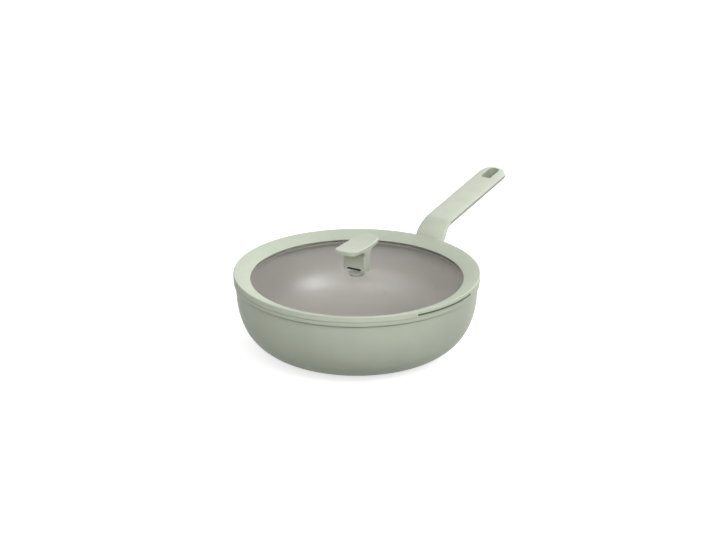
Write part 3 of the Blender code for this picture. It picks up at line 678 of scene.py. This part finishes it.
def build_glass():
    radii = [GLASS_HOLE_RADIUS + (GLASS_RADIUS - GLASS_HOLE_RADIUS) * step / GLASS_STEPS
             for step in range(GLASS_STEPS)]
    inset = GLASS_RADIUS - GLASS_EDGE
    outline = [(r, glass_height(r)) for r in radii]
    outline += [(inset, glass_height(inset)), (GLASS_RADIUS, glass_height(GLASS_RADIUS) - GLASS_EDGE),
                (GLASS_RADIUS, glass_height(GLASS_RADIUS, -GLASS_THICKNESS) + GLASS_EDGE),
                (inset, glass_height(inset, -GLASS_THICKNESS))]
    outline += [(r, glass_height(r, -GLASS_THICKNESS)) for r in reversed(radii)]
    glass = lathe("glass_dome", outline)
    below, above = 0.0800, 0.1100
    steam = drum("steam_hole", STEAM_HOLE_RADIUS, below, above, HOLE_SPINS, STEAM_HOLE_CENTRE)
    combine(glass, steam, "DIFFERENCE")
    return dress(glass, tempered_glass())


def build_slit(azimuth, shade_material):
    """Cutter of a straining slit: in through the skirt, then down through the plug's wall."""
    inner = PLUG_RADIUS - SLIT_PASSAGE
    shoulder = PLUG_RADIUS + SLIT_SHOULDER
    back = PLUG_RADIUS + 2 * GAP
    outside = LID_RADIUS + SLIT_PASSAGE
    low, high, deep = LID_SEAT + SLIT_LOW, LID_SEAT + SLIT_HIGH, LID_SEAT + SLIT_DEEP
    channel = [(inner, deep), (inner, LID_SEAT + SLIT_INNER_TOP), (shoulder, high), (outside, high),
               (outside, low), (back, low), (back, deep)]
    rings = turned(channel, SLIT_STEPS, math.radians(azimuth - SLIT_SPAN / 2), math.radians(SLIT_SPAN))
    # The cut faces take the given darker silicone: painted shade inside the slit.
    return dress(skin("slit", rings), shade_material)


def build_rim():
    """Silicone rim: skirt, dished top, a lip on each side of the glass and the plug in the bowl's mouth.

    Its faces towards the glass and the bowl's inside have the second material, a darker greyer tone that is
    painted shade of the narrow groove round the glass.
    """
    groove = GLASS_RADIUS + GAP
    lip = GLASS_RADIUS - LOWER_LIP_REACH
    hollow = RIM_INNER_RADIUS + 0.0040
    hollow_low, hollow_top = RIM_INNER_TOP - 0.0007, RIM_INNER_TOP - 0.0003
    under_hollow = PLUG_RADIUS - PLUG_WALL
    under = -GLASS_THICKNESS - GAP
    fine_edge, edge, soft_edge = 0.0002, 0.0003, 0.0005
    outline = fillet([
        (LID_RADIUS, LID_TOP, LID_EDGE),
        (RIM_INNER_RADIUS, RIM_INNER_TOP, edge),
        (RIM_INNER_RADIUS, hollow_low, fine_edge),
        (hollow, hollow_top, edge),
        (hollow, glass_height(hollow, GAP), 0.0),
        (groove, glass_height(groove, GAP), 0.0),
        (groove, glass_height(groove, under), 0.0),
        (lip, glass_height(lip, under), edge),
        (lip, glass_height(lip, under) - LOWER_LIP_THICKNESS, edge),
        (under_hollow, glass_height(under_hollow, under) - LOWER_LIP_THICKNESS, soft_edge),
        (under_hollow, PLUG_LOW, soft_edge),
        (PLUG_RADIUS, PLUG_LOW, LID_EDGE),
        (PLUG_RADIUS, LID_SEAT, 0.0),
        (LID_RADIUS, LID_SEAT, soft_edge),
    ])
    # Faces in the groove and hollows round the glass take slot 1, a darker tone: painted shade.
    groove_top, groove_low = RIM_INNER_TOP - 0.0004, PLUG_LOW + 0.0006
    slots = []
    for point, after in zip(outline, outline[1:] + outline[:1]):
        inside = max(point.x, after.x) < under_hollow + GAP and max(point.y, after.y) < groove_top
        slots.append(1 if inside and min(point.y, after.y) > groove_low else 0)
    rim = dress(lathe("lid_rim_ring", outline, slots=slots),
                silicone("sage_silicone", (0.520, 0.565, 0.465)),
                silicone("silicone_painted_groove_shade", (0.330, 0.310, 0.285)))
    # The slits' faces get a darker silicone: painted shade inside the slits.
    slit_painted_shade = silicone("silicone_painted_slit_shade", (0.320, 0.350, 0.285))
    for azimuth in SLIT_AZIMUTHS:
        combine(rim, build_slit(azimuth, slit_painted_shade), "DIFFERENCE", keep_material=True)
    return rim


# Knob

def rounding(radius, distance):
    """How far a face draws back at a distance from a side that meets it in a round edge of this radius."""
    if distance >= radius:
        return 0.0
    return radius - math.sqrt(radius ** 2 - (radius - distance) ** 2)


def knob_dip(x):
    return KNOB_DIP * (1 - (x / KNOB_HALF_LENGTH) ** 2)


def knob_half_width(x):
    bulge = (KNOB_WIDTH - KNOB_END_WIDTH) * (1 - (x / KNOB_HALF_LENGTH) ** 2)
    return (KNOB_END_WIDTH + bulge) / 2


def knob_half(distance):
    """Top, lower and stem side points of the T outline for x from 0 outward, at a distance from the side."""
    drop = rounding(KNOB_PLATE_EDGE, distance)
    arc = KNOB_PLATE_EDGE - drop
    end = KNOB_HALF_LENGTH - rounding(KNOB_PLATE_CORNER, distance)
    top, low = KNOB_TOP - drop, KNOB_PLATE_LOW + drop
    stem = STEM_HALF_DEPTH - rounding(STEM_CORNER, distance)
    foot = KNOB_FOOT + rounding(STEM_FOOT_EDGE, distance)
    upper, lower = [], []
    for share in (0.0, 0.5):
        upper.append((stem * share, top - knob_dip(stem * share)))
        lower.append((stem * share, foot))
    for step in range(FLARE_STEPS + 1):
        turn = math.pi / 2 * step / FLARE_STEPS
        blend = math.sin(turn) ** 2
        draw = rounding(STEM_CORNER + (KNOB_PLATE_EDGE - STEM_CORNER) * blend, distance)
        x = STEM_HALF_DEPTH + STEM_FLARE * (1 - math.cos(turn)) - draw * math.cos(turn)
        z = KNOB_PLATE_LOW - STEM_FLARE * (1 - math.sin(turn)) + draw * math.sin(turn)
        upper.append((x, top - knob_dip(x)))
        lower.append((x, z - knob_dip(x)))
    start = STEM_HALF_DEPTH + STEM_FLARE
    for step in range(1, PLATE_STEPS + 1):
        x = start + (end - arc - start) * step / PLATE_STEPS
        upper.append((x, top - knob_dip(x)))
        lower.append((x, low - knob_dip(x)))
    for step in range(1, ARC + 1):
        turn = math.pi / 2 * step / ARC
        x = end - arc + arc * math.sin(turn)
        upper.append((x, top - knob_dip(x) - arc * (1 - math.cos(turn))))
        lower.append((x, low - knob_dip(x) + arc * (1 - math.cos(turn))))
    stem_side = [(stem, KNOB_FOOT + height) for height in STEM_LEVELS]
    stem_side += [(stem, foot + STEM_FOOT_EDGE), (stem - STEM_FOOT_EDGE, foot)]
    return upper, lower, stem_side


def knob_outline(distance):
    """The T outline as one loop, from the top's middle towards +X and round."""
    upper, lower, stem_side = knob_half(distance)
    right = upper + lower[:1:-1] + stem_side + [lower[1]]
    left = [(-x, z) for x, z in reversed(right)]
    return right + [lower[0]] + left[:-1]


def build_knob_body():
    """The T drawn from one side across to the other, with both sides closed by strips from top to foot."""
    shell = Shell()
    deepest = KNOB_DISTANCES[-1]
    levels = [(distance, 1.0) for distance in KNOB_DISTANCES] + [(deepest, share) for share in (0.75, 0.5, 0.25)]
    across = [(distance, share) for distance, share in levels] + [(deepest, 0.0)]
    across += [(distance, -share) for distance, share in reversed(levels)]
    loops = [[shell.vertex((x, (knob_half_width(x) - distance) * share, z)) for x, z in knob_outline(distance)]
             for distance, share in across]
    for loop, follower in zip(loops, loops[1:]):
        shell.band(loop, follower)

    upper, lower, stem_side = knob_half(0.0)
    for sign in (1, -1):
        for mirror in (1, -1):
            for index in range(len(upper) - 1):
                strip = [upper[index], upper[index + 1], lower[index + 1]]
                strip += stem_side if index == 1 else []
                strip.append(lower[index])
                shell.face(shell.vertex((mirror * x, sign * knob_half_width(x), z)) for x, z in strip)
    return shell.finish("knob_grip")


def arched(name, low, near, far):
    """An arch in the knob's foot, between two places along X."""
    low, high = KNOB_FOOT + low, KNOB_FOOT + VENT_TOP
    arch = fillet([(-VENT_HALF_WIDTH, low, 0.0), (VENT_HALF_WIDTH, low, 0.0),
                   (VENT_HALF_WIDTH, high, VENT_CORNER), (-VENT_HALF_WIDTH, high, VENT_CORNER)])
    return skin(name, [[(x, y, z) for y, z in arch] for x in (near, far)])


def build_vent():
    """Cutter of the steam vent: an open mouth, a chamber round the screw's boss and a passage to the glass."""
    passage_half_height = 0.001
    vent = arched("vent", **VENT_MOUTH)
    combine(vent, arched("chamber", **VENT_CHAMBER), "UNION")
    combine(vent, drum("boss", BOSS_RADIUS, BELOW_KNOB, KNOB_TOP), "DIFFERENCE")
    passage = drum("steam_passage", STEAM_PASSAGE_RADIUS, KNOB_FOOT - passage_half_height,
                   KNOB_FOOT + passage_half_height, HOLE_SPINS, STEAM_PASSAGE_CENTRE)
    combine(vent, passage, "UNION")
    # The vent's cut faces get a near-black tone: painted shade inside the vent.
    return dress(vent, painted_hollow_shade("vent_painted_shade", (0.030, 0.033, 0.028)))


def build_knob():
    knob = dress(build_knob_body(), soft_touch("soft_touch_knob", (0.490, 0.530, 0.437)))
    combine(knob, build_vent(), "DIFFERENCE", keep_material=True)
    insert_top = KNOB_INSERT_LOW + KNOB_INSERT_LENGTH
    bore = lathe("bore", [
        (0.0, BELOW_KNOB), (UPPER_GASKET_BORE_RADIUS, BELOW_KNOB), (UPPER_GASKET_BORE_RADIUS, KNOB_INSERT_LOW),
        (KNOB_INSERT_BORE_RADIUS, KNOB_INSERT_LOW), (KNOB_INSERT_BORE_RADIUS, insert_top), (0.0, insert_top),
    ], SMALL_SPINS)
    combine(knob, bore, "DIFFERENCE")
    knob.data.transform(Matrix.Rotation(KNOB_TURN, 4, "Z"))
    return knob


# Fixing of the knob, under the glass

GASKET_TOP = GLASS_UNDERSIDE - GAP
GASKET_LOW = GASKET_TOP - GASKET_THICKNESS


def build_gasket():
    """Silicone washer with a collar through the hole in the glass."""
    edge, collar_top = 0.0004, GASKET_TOP + GLASS_THICKNESS
    outline = fillet([
        (SCREW_BORE_RADIUS, GASKET_LOW, 0.0), (GASKET_RADIUS, GASKET_LOW, edge), (GASKET_RADIUS, GASKET_TOP, edge),
        (COLLAR_RADIUS, GASKET_TOP, 0.0), (COLLAR_RADIUS, collar_top, 0.0), (SCREW_BORE_RADIUS, collar_top, 0.0),
    ], steps=SMALL_ARC)
    return dress(lathe("seal_ring", outline, SMALL_SPINS), plain_seal("grey_seal", (0.340, 0.322, 0.304)))


def build_washer():
    """Cup washer whose rim is dished down round the screw's head."""
    edge, inner_edge = 0.0003, 0.0002
    top = GASKET_LOW - GAP
    low = top - WASHER_THICKNESS
    outline = fillet([
        (SCREW_BORE_RADIUS, low, inner_edge), (WASHER_FLAT_RADIUS, low, edge),
        (WASHER_RADIUS, low - WASHER_DISH, inner_edge), (WASHER_RADIUS, top, edge), (SCREW_BORE_RADIUS, top, 0.0),
    ], steps=SMALL_ARC)
    return dress(lathe("dished_washer", outline, SMALL_SPINS), stainless)


# Assembly

zinc = brushed("zinc_plate", (0.64, 0.65, 0.66), 0.30, scale=500.0)
brass = brushed("turned_brass", (0.72, 0.55, 0.24), 0.28, scale=500.0)
stainless = brushed("stainless_steel", (0.60, 0.59, 0.57), 0.40, scale=400.0)
black_seal = plain_seal("black_seal", (0.035, 0.034, 0.033))

for body, builder, node, slot in (
    ("pan", build_bowl, "wok_body", "bowl"),
    ("pan", build_base_plate, "induction_plate", "base_steel"),
    ("pan", build_handle, "handle", "handle_soft_touch"),
    ("lid", build_glass, "lid_glass", "lid_glass"),
    ("lid", build_rim, "lid_rim", "rim_silicone"),
    ("lid", build_knob, "knob", "knob_soft_touch"),
    ("lid", build_gasket, "lower_gasket", "gasket_silicone"),
    ("lid", build_washer, "cup_washer", "fixing_steel"),
):
    piece = builder()
    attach(piece, body)
    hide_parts(node)

for node, material in (("lug_thread_insert", zinc), ("handle_lock_washer", zinc), ("handle_screw", zinc),
                       ("knob_insert", brass), ("upper_gasket", black_seal), ("knob_screw", stainless)):
    mesh = NODES[node].data
    mesh.materials.clear()
    mesh.materials.append(material)


# Studio

AIM = Vector((0.0, 0.0, LID_TOP))
WHITE = (1.0, 1.0, 1.0, 1.0)
SKY = 0.17
# Azimuth, elevation, radius where it ends, radius of its even middle (degrees) and added strength
SKY_PATCHES = (
    (0.0, -90.0, 96.0, 90.0, 0.83),
    (130.0, 42.0, 32.0, 0.0, 0.80),
)
# Name, azimuth, elevation (degrees), width, height (metres) and power (watts)
LAMPS = (
    ("front_left", -68.0, 39.0, 3.0, 1.8, 28.5),
    ("front", -3.0, 33.0, 0.85, 0.75, 12.6),
    ("side_right", 91.0, 22.0, 0.8, 0.8, 29.5),
)
LAMP_DISTANCE = 1.8
FLOOR_HALF_SIZE = 12.0
FLOOR_COLOUR = (0.38, 0.38, 0.38, 1.0)
FLOOR_SEEN_COLOUR = (0.65, 0.65, 0.65, 1.0)
# Strength of the floor's glow near the object; between the two distances it rises to 1, which is white
FLOOR_GLOW = 0.68
FLOOR_GLOW_NEAR = 0.5
FLOOR_GLOW_FAR = 2.5
CAMERA_AZIMUTH = -54.0
CAMERA_ELEVATION = 21.0
CAMERA_DISTANCE = 2.5
CAMERA_SIDESTEP = 0.00137
CAMERA_SENSOR = 36.0
CAMERA_LENS = 105.18


def seen_from(azimuth, elevation):
    """Direction from the lid towards a place, with the azimuth counted from -Y towards +X, in degrees."""
    a, e = math.radians(azimuth), math.radians(elevation)
    return Vector((math.sin(a) * math.cos(e), -math.cos(a) * math.cos(e), math.sin(e)))


def seen_ray(tree, otherwise=0.0):
    """1 for rays that show the background, straight or in metal and glass, else a value or another output."""
    path = add_node(tree, "LightPath")
    for kind in ("Is Camera Ray", "Is Glossy Ray", "Is Transmission Ray"):
        either = add_node(tree, "Math", {0: otherwise, 1: path.outputs[kind]}, operation="MAXIMUM")
        otherwise = either.outputs["Value"]
    return otherwise


def floor_material():
    """Diffuse for the object's light and shadow; where it is seen, a paler one with a glow that grows outward."""
    material = bpy.data.materials.new("pale_floor")
    material.use_nodes = True
    tree = material.node_tree
    lit = add_node(tree, "BsdfDiffuse", {"Color": FLOOR_COLOUR}).outputs["BSDF"]
    seen = add_node(tree, "BsdfDiffuse", {"Color": FLOOR_SEEN_COLOUR}).outputs["BSDF"]
    space = add_node(tree, "TexCoord").outputs["Object"]
    distance = add_node(tree, "VectorMath", {0: space}, operation="LENGTH").outputs["Value"]
    strength = add_node(tree, "MapRange", {
        "Value": distance, "From Min": FLOOR_GLOW_NEAR, "From Max": FLOOR_GLOW_FAR,
        "To Min": FLOOR_GLOW, "To Max": 1.0,
    }).outputs["Result"]
    glow = add_node(tree, "Emission", {"Strength": strength}).outputs["Emission"]
    bright = add_node(tree, "AddShader", {0: seen, 1: glow}).outputs["Shader"]
    mix = add_node(tree, "MixShader", {"Fac": seen_ray(tree), 1: lit, 2: bright})
    tree.links.new(mix.outputs["Shader"], tree.nodes["Material Output"].inputs["Surface"])
    return material


def build_floor():
    """A pale floor: its colour makes the white background, and it keeps the object's shadow."""
    shape = bmesh.new()
    bmesh.ops.create_grid(shape, x_segments=2, y_segments=2, size=FLOOR_HALF_SIZE)
    mesh = bpy.data.meshes.new("floor")
    shape.to_mesh(mesh)
    shape.free()
    dress(link("floor", mesh), floor_material())


def build_world():
    """A dim sky, brighter from below and on one side behind the lid, and plain white where a ray sees it."""
    world = bpy.data.worlds.new("studio")
    bpy.context.scene.world = world
    world.use_nodes = True
    tree = world.node_tree
    background = tree.nodes["Background"]
    background.inputs["Color"].default_value = WHITE
    ray = add_node(tree, "TexCoord").outputs["Generated"]
    strength = SKY
    for azimuth, elevation, outer, inner, share in SKY_PATCHES:
        facing = add_node(tree, "VectorMath", {0: ray, 1: seen_from(azimuth, elevation)}, operation="DOT_PRODUCT")
        fade = add_node(tree, "MapRange", {
            "Value": facing.outputs["Value"],
            "From Min": math.cos(math.radians(outer)), "From Max": math.cos(math.radians(inner)),
            "To Min": 0.0, "To Max": share,
        }, interpolation_type="SMOOTHERSTEP")
        strength = add_node(tree, "Math", {0: strength, 1: fade.outputs["Result"]}).outputs["Value"]
    tree.links.new(seen_ray(tree, strength), background.inputs["Strength"])


def aimed(thing, azimuth, elevation, distance):
    """Stands a lamp or camera in a direction from the lid and turns it to face the lid."""
    direction = seen_from(azimuth, elevation)
    thing.location = AIM + direction * distance
    thing.rotation_euler = direction.to_track_quat("Z", "Y").to_euler()
    return thing


def build_lamps():
    for name, azimuth, elevation, width, height, power in LAMPS:
        lamp = bpy.data.lights.new(name, "AREA")
        lamp.shape = "RECTANGLE"
        lamp.size, lamp.size_y = width, height
        lamp.energy = power
        aimed(link(name, lamp), azimuth, elevation, LAMP_DISTANCE)


def build_camera():
    """The photograph's camera: a long lens above the lid, with the handle going away to the right."""
    lens = bpy.data.cameras.new("camera")
    lens.sensor_width = CAMERA_SENSOR
    lens.lens = CAMERA_LENS
    camera = aimed(link("camera", lens), CAMERA_AZIMUTH, CAMERA_ELEVATION, CAMERA_DISTANCE)
    azimuth = math.radians(CAMERA_AZIMUTH)
    camera.location += Vector((math.cos(azimuth), math.sin(azimuth), 0.0)) * CAMERA_SIDESTEP
    bpy.context.scene.camera = camera


build_floor()
build_world()
build_camera()
build_lamps()
bpy.context.scene.view_settings.view_transform = "Standard"
